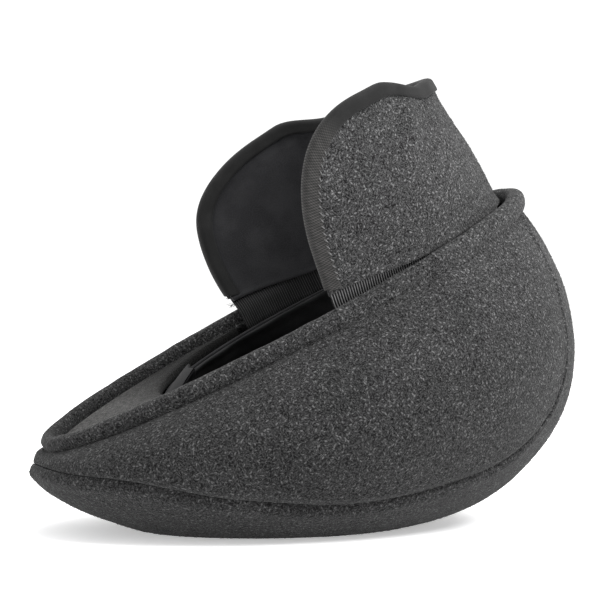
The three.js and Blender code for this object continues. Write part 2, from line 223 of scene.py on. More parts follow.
def bump_at(value, centre, reach):
    """A smooth hill of height 1 round a centre."""
    return np.exp(-(((value - centre) / reach) ** 2))


def ripples(points, size, waves, seed):
    """A smooth random field of about that size, from crossing waves."""
    rng = np.random.default_rng(seed)
    directions = unit(rng.normal(size=(waves, 3))) * rng.uniform(0.7, 1.4, (waves, 1))
    phases = rng.uniform(0, 2 * math.pi, waves)
    total = np.sin(points @ (directions.T * 2 * math.pi / size) + phases)
    return total.sum(-1) / math.sqrt(waves)


# Formulas of the wall.


def ring_point(ring, angle):
    along = np.cos(angle)
    x = np.where(along > 0, ring["back"], ring["front"]) * along
    share = (x + ring["front"]) / (ring["front"] + ring["back"])
    height = lerp(ring["low"], ring["high"], share)
    return np.stack([ring["middle"] + x, ring["side"] * np.sin(angle), height], -1)


def bowl_point(rings, angle, climb):
    """A point of a bowl: angle 0 is the back, climb -1 the floor's middle and climb 1 the rim."""
    a, b, c, d = (ring_point(ring, angle) for ring in rings)
    middle = np.array([rings[0]["middle"], 0, rings[0]["low"]])
    up = climb[..., None]
    rest = 1 - up
    wall = a * rest**3 + 3 * b * rest**2 * up + 3 * c * rest * up**2 + d * up**3
    return np.where(up < 0, lerp(middle, a, 1 + up), wall)


def bowl_normal(rings, angle, climb):
    step = 1e-3
    low = np.clip(climb, 0, 1 - step)
    up = bowl_point(rings, angle, low + step) - bowl_point(rings, angle, low)
    around = bowl_point(rings, angle + step, low) - bowl_point(rings, angle - step, low)
    down = np.array([0.0, 0.0, -1.0])
    return np.where((climb < 0)[..., None], down, unit(np.cross(around, up)))


def folded(angle):
    return np.abs(np.arctan2(np.sin(angle), np.cos(angle)))


def seam_curve():
    """The seam's climb at every quarter of a degree, a smooth curve that never turns back."""
    degrees = list(SEAM)
    climbs = [SEAM[d] for d in degrees]
    slopes = [(climbs[i + 1] - climbs[i]) / (degrees[i + 1] - degrees[i]) for i in range(len(degrees) - 1)]
    ends = [slopes[0]]
    for before, after in zip(slopes, slopes[1:]):
        ends.append(0 if before * after <= 0 else 2 * before * after / (before + after))
    ends.append(0)
    fine = np.arange(degrees[0], degrees[-1] + 0.01, 0.25)
    values = []
    for d in fine:
        i = min(max(int(np.searchsorted(degrees, d, "right")) - 1, 0), len(slopes) - 1)
        width = degrees[i + 1] - degrees[i]
        s = (d - degrees[i]) / width
        values.append(
            (2 * s**3 - 3 * s**2 + 1) * climbs[i]
            + (s**3 - 2 * s**2 + s) * width * ends[i]
            + (3 * s**2 - 2 * s**3) * climbs[i + 1]
            + (s**3 - s**2) * width * ends[i + 1]
        )
    return np.radians(fine), np.array(values)


SEAM_ANGLES, SEAM_CLIMBS = seam_curve()


def seam_climb(angle):
    return np.interp(folded(angle), SEAM_ANGLES, SEAM_CLIMBS)


def wall_length(angle, rings=WALL):
    steps = 24
    climbs = np.linspace(0, 1, steps + 1)
    points = bowl_point(rings, angle[None, :], np.repeat(climbs[:, None], len(angle), 1))
    return np.linalg.norm(np.diff(points, axis=0), axis=-1).sum(0)


def along_ring(points):
    """The distance along a row of points from its first."""
    steps = np.linalg.norm(np.diff(points, axis=0), axis=-1)
    return np.concatenate([[0], np.cumsum(steps)])


# Meshes from arrays.


def make_object(name, points, faces, material):
    """One smooth mesh from points in millimetres and an array of faces with equal numbers of corners."""
    mesh = bpy.data.meshes.new(name)
    placed = (np.asarray(points, float) + [shift_x, 0, 0]) * MM
    corners = faces.shape[1]
    mesh.vertices.add(len(placed))
    mesh.vertices.foreach_set("co", placed.astype(np.float32).ravel())
    mesh.loops.add(faces.size)
    mesh.loops.foreach_set("vertex_index", faces.astype(np.int32).ravel())
    mesh.polygons.add(len(faces))
    mesh.polygons.foreach_set("loop_start", np.arange(0, faces.size, corners, dtype=np.int32))
    mesh.update(calc_edges=True)
    mesh.polygons.foreach_set("use_smooth", np.ones(len(faces), bool))
    mesh.materials.append(material)
    made = bpy.data.objects.new(name, mesh)
    bpy.context.scene.collection.objects.link(made)
    return made


def marked(piece, name, values):
    """The piece with a number stored at each point for its material to read."""
    mark = piece.data.attributes.new(name, "FLOAT", "POINT")
    mark.data.foreach_set("value", np.asarray(values).astype(np.float32).ravel())
    return piece


def turned_out(points, faces):
    """The faces, all turned round if they point inwards."""
    a, b, c = (points[faces[:, k]] for k in range(3))
    volume = np.einsum("ij,ij->i", a, np.cross(b, c)).sum()
    if faces.shape[1] == 4:
        d = points[faces[:, 3]]
        volume += np.einsum("ij,ij->i", a, np.cross(c, d)).sum()
    return faces if volume > 0 else faces[:, ::-1]


def shell(name, outer, inner, material, closed=False):
    """A closed sheet between two faces, each an array of rows and columns of points."""
    rows, columns = outer.shape[:2]
    top = np.arange(rows * columns).reshape(rows, columns)
    under = top + rows * columns
    if closed:
        top = np.concatenate([top, top[:, :1]], 1)
        under = np.concatenate([under, under[:, :1]], 1)

    def patch(a, b):
        """Quads between two equal rows of numbers."""
        return np.stack([a[..., :-1], a[..., 1:], b[..., 1:], b[..., :-1]], -1).reshape(-1, 4)

    faces = [patch(top[:-1], top[1:]), patch(under[1:], under[:-1])]
    faces.append(patch(top[-1], under[-1]))
    faces.append(patch(under[0], top[0]))
    if not closed:
        faces.append(patch(under[:, 0], top[:, 0]))
        faces.append(patch(top[:, -1], under[:, -1]))
    points = np.concatenate([outer.reshape(-1, 3), inner.reshape(-1, 3)])
    quads = np.concatenate(faces)
    return make_object(name, points, turned_out(points, quads), material)


def loop_ring(name, points, material):
    """A closed tube from an array of sections and the points round each."""
    sections, sides = points.shape[:2]
    ids = np.arange(sections * sides).reshape(sections, sides)
    ids = np.concatenate([ids, ids[:1]], 0)
    ids = np.concatenate([ids, ids[:, :1]], 1)
    quads = np.stack([ids[:-1, :-1], ids[1:, :-1], ids[1:, 1:], ids[:-1, 1:]], -1).reshape(-1, 4)
    flat = points.reshape(-1, 3)
    return make_object(name, flat, turned_out(flat, quads), material)


def dressed(piece, node):
    """A piece that stands for a solid: the solid is hidden and the piece is hung on the root."""
    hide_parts(node)
    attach(piece, "root")
    return piece


def trimmed(piece):
    """A piece that is added to the others."""
    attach(piece, "root")
    return piece


# Materials.


class Nodes:
    """Short names for making and joining a material's nodes."""

    def __init__(self, name, roughness, sheen=0.0, sheen_tint=(1, 1, 1)):
        self.material = bpy.data.materials.new(name)
        self.material.use_nodes = True
        self.tree = self.material.node_tree
        self.shader = self.tree.nodes["Principled BSDF"]
        self.shader.inputs["Roughness"].default_value = roughness
        self.shader.inputs["Specular IOR Level"].default_value = 0.08
        self.shader.inputs["Sheen Weight"].default_value = sheen
        self.shader.inputs["Sheen Roughness"].default_value = 0.5
        self.shader.inputs["Sheen Tint"].default_value = (*sheen_tint, 1)
        self.coordinates = self.tree.nodes.new("ShaderNodeTexCoord")
        self.place = self.coordinates.outputs["Object"]
        self.normal = self.coordinates.outputs["Normal"]

    def join(self, value, socket):
        if isinstance(value, bpy.types.NodeSocket):
            self.tree.links.new(value, socket)
        elif value is not None:
            socket.default_value = value

    def math(self, operation, a, b=None):
        node = self.tree.nodes.new("ShaderNodeMath")
        node.operation = operation
        self.join(a, node.inputs[0])
        self.join(b, node.inputs[1])
        return node.outputs[0]

    def vector(self, operation, a, b=None, scale=None):
        node = self.tree.nodes.new("ShaderNodeVectorMath")
        node.operation = operation
        self.join(a, node.inputs[0])
        self.join(b, node.inputs[1])
        if scale is not None:
            self.join(scale, node.inputs["Scale"])
        return node.outputs["Value" if operation in ("DOT_PRODUCT", "LENGTH") else "Vector"]

    def noise(self, size, detail=2.0, roughness=0.5, place=None):
        node = self.tree.nodes.new("ShaderNodeTexNoise")
        self.join(place or self.place, node.inputs["Vector"])
        node.inputs["Scale"].default_value = 1 / (size * MM)
        node.inputs["Detail"].default_value = detail
        node.inputs["Roughness"].default_value = roughness
        return node.outputs["Fac"]

    def ramp(self, value, low, high, bottom=0.0, top=1.0):
        node = self.tree.nodes.new("ShaderNodeMapRange")
        node.interpolation_type = "SMOOTHSTEP"
        self.join(value, node.inputs["Value"])
        for key, number in (("From Min", low), ("From Max", high), ("To Min", bottom), ("To Max", top)):
            node.inputs[key].default_value = number
        return node.outputs["Result"]

    def mix(self, share, a, b):
        node = self.tree.nodes.new("ShaderNodeMix")
        node.data_type = "RGBA"
        self.join(share, node.inputs[0])
        for colour, socket in ((a, node.inputs[6]), (b, node.inputs[7])):
            self.join((*colour, 1) if isinstance(colour, tuple) else colour, socket)
        return node.outputs[2]

    def attribute(self, name):
        node = self.tree.nodes.new("ShaderNodeAttribute")
        node.attribute_name = name
        return node.outputs["Fac"]

    def rise(self, height, bottom):
        """A factor that goes from its bottom value at the floor to 1 at a height, used as painted shade that
        darkens the felt towards the floor.
        """
        split = self.tree.nodes.new("ShaderNodeSeparateXYZ")
        self.join(self.place, split.inputs[0])
        return self.ramp(split.outputs["Z"], 0.0, height * MM, bottom, 1.0)

    def flecks(self, cell, length, width, seed):
        """One short fibre to a cell, lying in the surface: 0 off it and 1 on it."""
        place = self.vector("ADD", self.place, (seed, 2 * seed, -seed))
        cells = self.tree.nodes.new("ShaderNodeTexVoronoi")
        self.join(place, cells.inputs["Vector"])
        cells.inputs["Scale"].default_value = 1 / (cell * MM)
        offset = self.vector("SUBTRACT", place, cells.outputs["Position"])
        random = self.vector("SUBTRACT", cells.outputs["Color"], (0.5, 0.5, 0.5))
        direction = self.vector("NORMALIZE", self.vector("CROSS_PRODUCT", self.normal, random))
        aside = self.vector("CROSS_PRODUCT", self.normal, direction)
        along = self.math("DIVIDE", self.vector("DOT_PRODUCT", offset, direction), length * MM / 2)
        across = self.math("DIVIDE", self.vector("DOT_PRODUCT", offset, aside), width * MM / 2)
        along = self.math("MULTIPLY", along, along)
        across = self.math("MULTIPLY", across, across)
        return self.ramp(self.math("ADD", along, across), 1.0, 0.2)

    def finish(self, colour, height, distance, strength=1.0):
        self.join(colour, self.shader.inputs["Base Color"])
        bump = self.tree.nodes.new("ShaderNodeBump")
        bump.inputs["Distance"].default_value = distance * MM
        bump.inputs["Strength"].default_value = strength
        self.join(height, bump.inputs["Height"])
        self.join(bump.outputs["Normal"], self.shader.inputs["Normal"])
        return self.material


def felt_material(name, dark, light, bright, clouds=0.08, fade=False):
    """Napped wool felt: a mottled melange with short flecks of lighter wool, darkened towards the floor as
    painted shade. It can fade to its dark.
    """
    n = Nodes(name, roughness=0.95, sheen=0.06)
    grain = n.ramp(n.noise(1.25, detail=2.0, roughness=0.8), 0.4, 0.6)
    mottle = n.ramp(n.noise(3.0, detail=3.0, roughness=0.75), 0.38, 0.62)
    drift = n.ramp(n.noise(26, detail=3.0), 0.3, 0.7, 1 - clouds, 1 + clouds)
    fine = n.flecks(cell=1.3, length=1.5, width=0.62, seed=0.11)
    sparse = n.flecks(cell=2.6, length=1.9, width=0.8, seed=0.73)
    share = n.math("ADD", n.math("MULTIPLY", grain, 0.7), n.math("MULTIPLY", mottle, 0.3))
    colour = n.mix(share, dark, light)
    colour = n.mix(n.math("MULTIPLY", fine, 0.22), colour, bright)
    colour = n.mix(n.math("MULTIPLY", n.math("MULTIPLY", sparse, mottle), 0.75), colour, bright)
    if fade:
        colour = n.mix(n.attribute("fade"), colour, dark)
    # Painted shade: the colour is scaled down towards the floor by the height ramp, on top of the random
    # drift in tone.
    colour = n.vector("SCALE", colour, scale=n.math("MULTIPLY", drift, n.rise(PAINTED_SHADE_HEIGHT, PAINTED_SHADE_AT_FLOOR)))
    height = n.math("ADD", n.math("MULTIPLY", fine, 0.4), share)
    return n.finish(colour, height, 0.32, 0.8)


def fuzz_material(name, dark, bright):
    """Loose wool fibres, some pale and some dark."""
    n = Nodes(name, roughness=0.9)
    twist = n.noise(0.4, detail=1.0)
    return n.finish(n.mix(n.attribute("tone"), dark, bright), twist, 0.02, 0.3)


def lining_material(name, colour, light):
    """Matt black brushed knit."""
    n = Nodes(name, roughness=0.88, sheen=0.08)
    grain = n.noise(0.5, detail=4.0, roughness=0.7)
    patches = n.ramp(n.noise(14, detail=3.0), 0.35, 0.7)
    fibre = n.flecks(cell=0.9, length=1.4, width=0.2, seed=0.21)
    shade = n.mix(n.math("MULTIPLY", patches, 0.6), colour, light)
    shade = n.mix(n.math("MULTIPLY", fibre, 0.35), shade, tuple(1.8 * c for c in light))
    height = n.math("ADD", grain, n.math("MULTIPLY", fibre, 0.4))
    return n.finish(shade, height, 0.12, 0.7)


def tape_material(name, colour, light, crest_highlight=None, roughness=0.7):
    """Woven tape. On a piece that carries its crests, a painted highlight in the crest colour lightens the
    ribs' crests.
    """
    n = Nodes(name, roughness=roughness, sheen=0.04)
    grain = n.noise(0.35, detail=3.0, roughness=0.6)
    patches = n.ramp(n.noise(9, detail=2.0), 0.3, 0.7)
    shade = n.mix(n.math("MULTIPLY", patches, n.ramp(grain, 0.3, 0.7)), colour, light)
    if crest_highlight:
        shade = n.mix(n.attribute("crest_highlight"), shade, crest_highlight)
    return n.finish(shade, grain, 0.08, 0.6)


def thread_material(name, colour, light):
    n = Nodes(name, roughness=0.6, sheen=0.2)
    twist = n.noise(0.25, detail=1.0)
    shade = n.mix(n.ramp(twist, 0.3, 0.7), colour, light)
    return n.finish(shade, twist, 0.06, 0.6)


def floor_material():
    """A pale table lit from below, which keeps the shadow faint."""
    n = Nodes("pale_floor", roughness=0.7)
    grain = n.noise(3, detail=2.0)
    shade = n.mix(grain, (0.9, 0.9, 0.905), (0.92, 0.92, 0.925))
    n.shader.inputs["Emission Color"].default_value = (1, 1, 1, 1)
    n.shader.inputs["Emission Strength"].default_value = FLOOR_GLOW
    return n.finish(shade, grain, 0.02, 0.2)


# The felt body.


def nose_share(angle):
    """From 0 along the sides to 1 at the nose, where the seam nearly vanishes in the felt."""
    return smoothstep(folded(angle), *NOSE_REACH)


def felt_relief(points, angle, to_seam, run, rim_distance):
    """How far the felt's face stands out of the plain bowl."""
    nose = nose_share(angle)
    crease = -0.9 * bump_at(to_seam, 0, 1.0) - 0.3 * bump_at(to_seam, 0, 4)
    crease = crease * lerp(1, 0.3, nose)
    pillow = lerp(0.4, 1.3, nose) * bump_at(to_seam, 6, 4)
    spread = np.clip(1 + 0.5 * ripples(points, 23, 6, 5), 0, 2)
    pucker = 0.16 * spread * np.sin(2 * math.pi * run / 3.3) * bump_at(to_seam, 1.8, 1.5)
    soft = 0.35 * ripples(points, 62, 9, 3) + 0.12 * ripples(points, 21, 12, 4)
    calm = 1 - bump_at(to_seam, 0, 3)
    tuck = -0.6 * smoothstep(-rim_distance, -2.6, 0)
    return crease + pillow + pucker + soft * calm + tuck


def felt_faces(angle, climb, to_seam, run, rim_distance):
    """The outer and inner face of a felt panel."""
    normal = bowl_normal(WALL, angle, climb)
    base = bowl_point(WALL, angle, climb)
    dip = SEAM_DIP * bump_at(to_seam, 0, SEAM_DIP_REACH) * (1 - nose_share(angle))
    relief = felt_relief(base, angle, to_seam, run, rim_distance)
    flat = climb <= 0
    relief = np.where(flat, np.minimum(relief, 0), relief)
    floor = np.minimum(1, base[..., 2] / 6)
    relief = np.where(relief > 0, relief * floor, relief * lerp(0.25, 1, floor))
    outer = base + normal * (relief - dip)[..., None]
    inner = base - normal * (FELT + dip)[..., None]
    return outer, inner


def side_panel(material):
    rows, columns = 60, 480
    angles = np.linspace(PANEL_START, 2 * math.pi - PANEL_START, columns)
    length = wall_length(angles)
    low = np.minimum(seam_climb(angles) + SEAM_GAP / 2 / length, 0.996)
    share = (np.linspace(0, 1, rows) ** 1.7)[:, None]
    climb = lerp(low, 1 + HEM_TUCK / length, share)
    angle = np.repeat(angles[None, :], rows, 0)
    to_seam = (climb - low) * length
    run = along_ring(bowl_point(WALL, angles, low))
    outer, inner = felt_faces(angle, climb, to_seam, run[None, :], (1 - climb) * length)
    return shell("side_felt", outer, inner, material), outer


def crown_panel(material):
    rows_flat, rows_wall, columns = 6, 54, 480
    angles = np.linspace(0, 2 * math.pi, columns, endpoint=False)
    length = wall_length(angles)
    shifted = folded(angles) + SEAM_GAP / RIM_BACK
    seam = np.minimum(seam_climb(angles), np.interp(shifted, SEAM_ANGLES, SEAM_CLIMBS))
    edge = seam - SEAM_GAP / 2 / length
    up = 1 - (1 - np.linspace(0, 1, rows_wall)) ** 1.7
    flat = np.linspace(FLOOR_START, 0, rows_flat, endpoint=False)
    climb = np.concatenate([np.repeat(flat[:, None], columns, 1), up[:, None] * edge[None, :]])
    angle = np.repeat(angles[None, :], len(climb), 0)
    to_seam = (edge[None, :] - np.maximum(climb, 0)) * length
    aside = np.maximum(0, TONGUE_END - folded(angle)) * RIM_BACK
    below = np.maximum(0, SEAM[30] - climb) * length
    to_seam = np.where(folded(angle) < TONGUE_END, np.hypot(aside, below), to_seam)
    to_seam = np.where(climb <= 0, OUT_OF_REACH, to_seam)
    run = along_ring(bowl_point(WALL, angles, edge))
    rim_distance = np.where(edge > 0.95, (1 - climb) * length, OUT_OF_REACH)
    outer, inner = felt_faces(angle, climb, to_seam, run[None, :], rim_distance)
    return shell("crown_felt", outer, inner, material, closed=True), outer


# The hem.


def rim_outward(angle):
    step = 1e-3
    along = ring_point(RIM, angle + step) - ring_point(RIM, angle - step)
    return unit(np.cross(along, RIM_NORMAL))


def backward(angle):
    return (1 + np.cos(angle)) / 2


def hem_height(angle):
    return lerp(HEM_HEIGHT, LIP_HEIGHT, backward(angle))


def hem_point(angle, turn, swell=0):
    width = lerp(HEM_WIDTH, LIP_WIDTH, backward(angle) ** 8)
    flush = smoothstep(folded(angle), *FLUSH_STARTS) * (1 - smoothstep(folded(angle), *FLUSH_ENDS))
    out = (width / 2 + swell) * np.cos(turn) * np.where(np.cos(turn) > 0, lerp(1, 0.5, flush), 1)
    lap = np.where(np.sin(turn) < 0, HEM_LAP, 0)
    up = (hem_height(angle) / 2 + swell + lap) * np.sin(turn) + hem_height(angle) / 2 + CLEARANCE
    return ring_point(RIM, angle) + rim_outward(angle) * out[..., None] + RIM_NORMAL * up[..., None]


def hem(material):
    sections, sides = 700, 22
    angle = np.repeat(np.linspace(0, 2 * math.pi, sections, endpoint=False)[:, None], sides, 1)
    turn = np.repeat(np.linspace(0, 2 * math.pi, sides, endpoint=False)[None, :], sections, 0)
    base = hem_point(angle, turn)
    run = np.repeat(along_ring(base[:, 0])[:, None], sides, 1)
    stitch = -0.35 * bump_at(np.sin((turn + 0.9) / 2), 0, 0.16)
    pucker = 0.08 * np.sin(2 * math.pi * run / 3.1) * np.clip(ripples(base, 30, 5, 8), 0, 1)
    swell = 0.22 * ripples(base, 34, 8, 7) + 0.08 * ripples(base, 9, 10, 9) + stitch + pucker
    points = hem_point(angle, turn, swell)
    return loop_ring("hem_felt", points, material), points


# Plates in the rim's plane.


def rim_point(behind_nose, aside, height):
    nose = np.array([RIM_MIDDLE - RIM_FRONT, 0, NOSE_HEIGHT])
    side = np.array([0.0, 1.0, 0.0])
    behind, across, up = (np.asarray(v, float)[..., None] for v in (behind_nose, aside, height))
    return nose + RIM_SLOPE * behind + side * across + RIM_NORMAL * up


RIM_MIDDLE_BEHIND = RIM_FRONT / math.cos(RIM_TILT)


def inset_egg(angle, egg):
    power = egg.get("power", 2)

    def rounded(value):
        return np.sign(value) * np.abs(value) ** (2 / power)

    along = rounded(np.cos(angle))
    to_back = RIM_LENGTH - RIM_MIDDLE_BEHIND - egg["back"]
    to_nose = RIM_MIDDLE_BEHIND - egg["nose"]
    behind = RIM_MIDDLE_BEHIND + np.where(along > 0, to_back, to_nose) * along
    return behind, (RIM_WIDTH / 2 - egg["side"]) * rounded(np.sin(angle))


def peak(material):
    rows, columns = 36, 220
    inset = FELT + 4 * CLEARANCE
    angle = np.linspace(HORN_ANGLE, 2 * math.pi - HORN_ANGLE, columns)[None, :]
    row = np.linspace(0, 1, rows)[:, None]
    inner_x, inner_y = inset_egg(angle, OPENING)
    outer_x, outer_y = inset_egg(angle, {"nose": inset, "back": inset, "side": inset})
    behind = lerp(inner_x, outer_x, row)
    aside = lerp(inner_y, outer_y, row)
    sag = PEAK_SAG * (1 - row) * (1 - (aside / (RIM_WIDTH / 2)) ** 2)
    flat = rim_point(behind, aside, 0 * behind)
    soft = 0.25 * ripples(flat, 40, 8, 11) * np.sin(math.pi * row)
    edge = 0.8 * bump_at(row, 0, 0.05) + 0.5 * bump_at(row, 1, 0.03)
    top = rim_point(behind, aside, PEAK_THICKNESS / 2 - PEAK_RECESS - sag + soft - edge)
    under = rim_point(behind, aside, -PEAK_THICKNESS / 2 - PEAK_RECESS - sag)
    fade = smoothstep(behind, *PEAK_FADE) + 0 * row
    made = marked(shell("peak_felt", top, under, material), "fade", np.stack([fade, fade]))
    return made, top


def rim_facing(material):
    rows, columns = 14, 320
    wall = 1.4 * FELT + CLEARANCE
    angle = np.linspace(-FACING_ANGLE, FACING_ANGLE, columns)[None, :]
    row = np.linspace(0, 1, rows)[:, None]
    foot = {**OPENING, "back": OPENING["back"] - FACING_GAP, "side": OPENING["side"] - FACING_GAP}
    inner_x, inner_y = inset_egg(angle, foot)
    outer_x, outer_y = inset_egg(angle, {"nose": wall, "back": wall, "side": wall})
    behind = lerp(inner_x, outer_x, row)
    aside = lerp(inner_y, outer_y, row)
    soft = 0.2 * ripples(rim_point(behind, aside, 0 * behind), 12, 8, 12) - 0.2
    top = rim_point(behind, aside, -CLEARANCE + soft)
    under = rim_point(behind, aside, -CLEARANCE - FACING_THICKNESS + 0 * behind)
    return shell("facing_felt", top, under, material)


# The lining, the sweatband and its tab.

BOWL_INSET = 1.6 * FELT
LINING_INSET = TAPE / 2 + 3 * CLEARANCE
LINING_DROP = 3
LINING_RINGS = (
    {
        "middle": REST["middle"],
        "front": 0.8 * REST["front"],
        "back": REST["back"] - BOWL_INSET,
        "side": REST["side"] - BOWL_INSET,
        "low": BOWL_INSET,
        "high": BOWL_INSET,
    },
    {
        "middle": UNDER["middle"],
        "front": UNDER["front"] - 0.4 * PEAK_LENGTH,
        "back": UNDER["back"] - 2.5 * BOWL_INSET,
        "side": UNDER["side"] - 2 * BOWL_INSET,
        "low": BOWL_INSET,
        "high": BOWL_INSET,
    },
    {
        "middle": BULGE["middle"],
        "front": BULGE["front"] - 1.15 * PEAK_LENGTH,
        "back": BULGE["back"] - 5 * BOWL_INSET,
        "side": BULGE["side"] - 4 * BOWL_INSET,
        "low": 0.62 * NOSE_HEIGHT,
        "high": 0.5 * BACK_HEIGHT,
    },
    {
        "middle": RIM_MIDDLE,
        "front": RIM_FRONT - 1.073 * PEAK_LENGTH * math.cos(RIM_TILT),
        "back": RIM_BACK - (OPENING["back"] + LINING_INSET) * math.cos(RIM_TILT),
        "side": RIM_WIDTH / 2 - OPENING["side"] - LINING_INSET,
        "low": NOSE_HEIGHT + PEAK_LENGTH * math.sin(RIM_TILT) - LINING_DROP,
        "high": BACK_HEIGHT - OPENING["back"] * math.sin(RIM_TILT) - LINING_DROP,
    },
)
SWEATBAND_FACE = LINING + CLEARANCE


def lining_point(depth, angle, climb):
    normal = bowl_normal(LINING_RINGS, angle, climb)
    return bowl_point(LINING_RINGS, angle, climb) - normal * np.asarray(depth, float)[..., None]


def lining(material):
    rows_flat, rows_wall, columns = 5, 34, 240
    angles = np.linspace(0, 2 * math.pi, columns, endpoint=False)
    flat = np.linspace(FLOOR_START, 0, rows_flat, endpoint=False)
    climbs = np.concatenate([flat, np.linspace(0, 1, rows_wall)])
    angle, climb = np.meshgrid(angles, climbs)
    base = lining_point(LINING + 0 * angle, angle, climb)
    folds = 0.9 * np.clip(ripples(base, 33, 9, 21), -1.2, 0.9) + 0.35 * ripples(base, 12, 9, 22)
    free = smoothstep(1 - climb, SWEATBAND_DEPTH, SWEATBAND_DEPTH + 0.15) * smoothstep(climb, -0.9, -0.3)
    outer = lining_point(0 * angle, angle, climb)
    inner = lining_point(LINING + np.maximum(folds, -0.3) * free, angle, climb)
    return shell("lining_cloth", outer, inner, material, closed=True)


def sweatband(material):
    rows, columns = 30, 360
    angles = np.linspace(0, 2 * math.pi, columns, endpoint=False)
    angle, climb = np.meshgrid(angles, np.linspace(1 - SWEATBAND_DEPTH, 1, rows))
    row = (climb - (1 - SWEATBAND_DEPTH)) / SWEATBAND_DEPTH
    ridges = 0.28 * np.cos(2 * math.pi * 4 * row) * smoothstep(row, 0, 0.1)
    edge = -0.5 * (bump_at(row, 0, 0.04) + bump_at(row, 1, 0.04))
    base = bowl_point(LINING_RINGS, angle, climb)
    soft = 0.25 * ripples(base, 26, 8, 31)
    inner_depth = SWEATBAND_FACE + SWEATBAND_THICKNESS + ridges + edge + soft
    outer = lining_point(SWEATBAND_FACE + 0 * angle, angle, climb)
    inner = lining_point(inner_depth, angle, climb)
    return shell("sweatband_tape", outer, inner, material, closed=True)


def front_tab(material):
    rows, columns = 30, 60
    reach = TAB_LENGTH / (RIM_FRONT - PEAK_LENGTH)
    rise = 1 / wall_length(np.array([TAB_ANGLE]), LINING_RINGS)[0]
    row, column = np.meshgrid(np.linspace(-1, 1, rows), np.linspace(-1, 1, columns), indexing="ij")
    puff = np.sqrt(np.maximum(0, 1 - column**4)) * np.sqrt(np.maximum(0, 1 - row**4))
    climb = 1 + (0.6 * CLEARANCE + (1 + row) / 2 * TAB_HEIGHT) * rise
    angle = TAB_ANGLE + column * reach / 2
    seam = -0.7 * bump_at(column, -0.1, 0.05) * puff
    edge = 0.35 * bump_at(row, 0.8, 0.12) * puff
    full = lerp(0.25, 1, puff) * TAB_THICKNESS
    outer = lining_point(CLEARANCE - 0.3 * edge, angle, climb)
    inner = lining_point(CLEARANCE + full + seam + edge, angle, climb)
    return shell("tab_pad", outer, inner, material)


# The ear flap.


def foot_angle(behind_nose):
    forward = behind_nose - RIM_MIDDLE_BEHIND
    to_back = RIM_LENGTH - RIM_MIDDLE_BEHIND - OPENING["back"]
    to_nose = RIM_MIDDLE_BEHIND - PEAK_LENGTH
    share = np.abs(forward) / np.where(forward > 0, to_back, to_nose)
    return np.arccos(np.sign(forward) * share ** (OPENING["power"] / 2))


def flap_edge(share, inset):
    """The flap's free edge: its angle, height and distance behind the nose."""
    near = np.minimum(share, 1 - share)
    side = np.where(share > 0.5, -1, 1)
    turn = math.pi / 2 * lerp(LOWEST_TURN, 1, np.minimum(near / LOBE_SHARE, 1))
    length = LOBE_LENGTH - inset
    power = lerp(LOBE_POWER, np.where(side > 0, LOBE_POWER, NEAR_POWER), smoothstep(near, 0, 0.04))
    behind_lobe = FLAP_START + inset + length * (1 - np.maximum(np.cos(turn), 0) ** (2 / LOBE_POWER))
    hill = np.sin(math.pi * np.clip(near / LOBE_SHARE, 0, 1))
    behind_lobe = behind_lobe - np.where(side > 0, FAR_BULGE, 0) * hill
    onward = np.clip((near - LOBE_SHARE) / (0.5 - LOBE_SHARE), 0, 1)
    lobe_angle = foot_angle(np.array(FLAP_START + LOBE_LENGTH, float))
    angle = np.where(near < LOBE_SHARE, foot_angle(behind_lobe), lobe_angle * (1 - onward))
    behind = inset_egg(angle, OPENING)[0]
    full = lerp(LOBE_HEIGHT, NAPE_HEIGHT, smoothstep(behind, LOBE_END, NAPE_START)) - inset
    lift = np.where(side > 0, 0, NEAR_LIFT) * np.sin(turn) * smoothstep(np.abs(angle), 0, 0.9)
    droop = np.where(side > 0, FAR_DROOP, 0) * (1 - smoothstep(behind, DROOP_START, NAPE_START))
    full = full - droop * smoothstep(np.sin(turn), 0.5, 0.95)
    return side * angle, full * np.sin(turn) ** (2 / power) + lift, behind


def hinge_top(behind_nose):
    return lerp(HINGE_HEIGHT, HINGE_BACK_HEIGHT, smoothstep(behind_nose, FLAP_START, LOBE_END))


def flap_point(angle, height, outwards):
    step = 0.01
    foot = inset_egg(angle, OPENING)
    ahead = inset_egg(angle + step, OPENING)
    before = inset_egg(angle - step, OPENING)
    normal = unit(np.stack([ahead[1] - before[1], before[0] - ahead[0]], -1))
    free = np.maximum(0, height - hem_height(angle))
    flare = FLAP_FLARE * (1 - np.exp(-free / FLARE_REACH)) * np.sin(angle) ** 2
    lean = FLAP_LEAN * (free / LOBE_HEIGHT) * np.maximum(0, np.cos(angle)) ** 2
    out = outwards + flare - lean
    return rim_point(foot[0] + normal[..., 0] * out, foot[1] + normal[..., 1] * out, height)


def even_shares(count):
    """Shares along the flap's edge at even distances."""
    fine = np.linspace(0, 1, 4001)
    angle, height, _ = flap_edge(fine, 0)
    run = along_ring(flap_point(angle, height, 0 * angle))
    return np.interp(np.linspace(0, run[-1], count), run, fine), run[-1]


def flap_grid(rows, columns, lap):
    """Angle, height and edge height of every point of the flap, in rows from its foot on the tape."""
    share, _ = even_shares(columns)
    angle, top, behind = flap_edge(share, 0)
    foot = hinge_top(behind) + CLEARANCE - lap
    top = np.maximum(top, foot + 1)
    height = lerp(foot, top, rows[:, None])
    return np.repeat(angle[None, :], len(rows), 0), height, np.repeat(top[None, :], len(rows), 0)


def flap_relief(angle, height):
    """Soft folds in the flap, with one diagonal crease on each lobe."""
    points = flap_point(angle, height, 0 * angle)
    soft = 0.5 * ripples(points, 55, 9, 41) + 0.15 * ripples(points, 18, 9, 42)
    across = (np.abs(angle) - 1.05) * 70 + (height - 70) * 0.42
    crease = 2.0 * bump_at(across, 0, 5) * smoothstep(height, 30, 60)
    return (soft + crease) * smoothstep(height, 12, 30)


